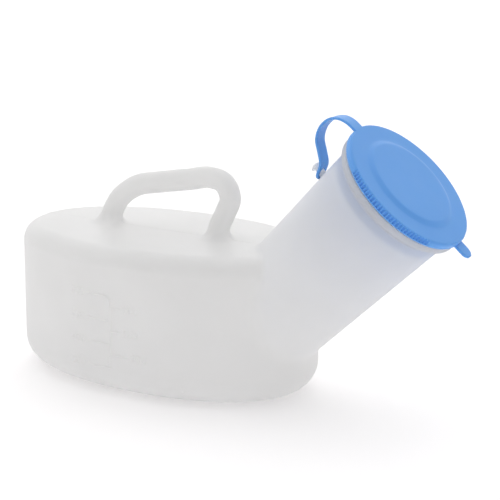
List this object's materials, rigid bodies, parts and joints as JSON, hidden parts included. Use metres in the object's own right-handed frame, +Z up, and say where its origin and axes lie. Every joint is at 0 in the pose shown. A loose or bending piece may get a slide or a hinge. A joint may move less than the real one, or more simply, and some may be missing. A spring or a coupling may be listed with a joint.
{
  "type": "portable urinal bottle",
  "caption": "Oval translucent bedside urinal bottle with a top carrying handle, a leaning wide neck and a tethered press-on lid.",
  "frame": {"origin": "middle of the tank's flat base, on the surface that the bottle stands on", "axes": "+X along the tank towards the neck, +Y away from the wall that carries the volume scale, +Z up"},
  "size_m": [0.2728, 0.1137, 0.1573],
  "materials": {
    "milky_plastic": "milky translucent blow-moulded polyethylene, satin",
    "blue_plastic": "soft satin injection-moulded polyethylene"
  },
  "bodies": {
    "bottle": {"tank_wall": "milky_plastic", "tank_deck": "milky_plastic", "tank_floor": "milky_plastic", "neck_tube": "milky_plastic", "mouth_rim": "milky_plastic", "handle_grip": "milky_plastic", "handle_front_leg": "milky_plastic", "handle_rear_leg": "milky_plastic", "handle_front_foot": "milky_plastic", "handle_rear_foot": "milky_plastic", "tether_peg": "milky_plastic", "volume_scale": "milky_plastic", "strap_leg": "blue_plastic"},
    "strap": {"strap_arch": "blue_plastic"},
    "lid": {"strap_root": "blue_plastic", "lid_panel": "blue_plastic", "lid_skirt": "blue_plastic", "lid_plug": "blue_plastic"},
    "tab": {"pull_tab": "blue_plastic"}
  },
  "joints": [
    {"name": "strap_flex", "type": "hinge", "parent": "bottle", "child": "strap", "pos_m": [0.0962, 0, 0.14887], "axis": [0, -1, 0], "range_deg": [0, 27]},
    {"name": "lid_swing", "type": "hinge", "parent": "strap", "child": "lid", "pos_m": [0.11024, 0, 0.1579], "axis": [0, -1, 0], "range_deg": [0, 175]},
    {"name": "tab_flex", "type": "hinge", "parent": "lid", "child": "tab", "pos_m": [0.17487, 0.00584, 0.09603], "axis": [0.1052, -0.989, -0.1038], "range_deg": [-15, 35], "stiffness_Nm_per_rad": 0.01}
  ],
  "couplings": [
    {"joint": "strap_flex", "follows": "lid_swing", "ratio": 0.15}
  ]
}
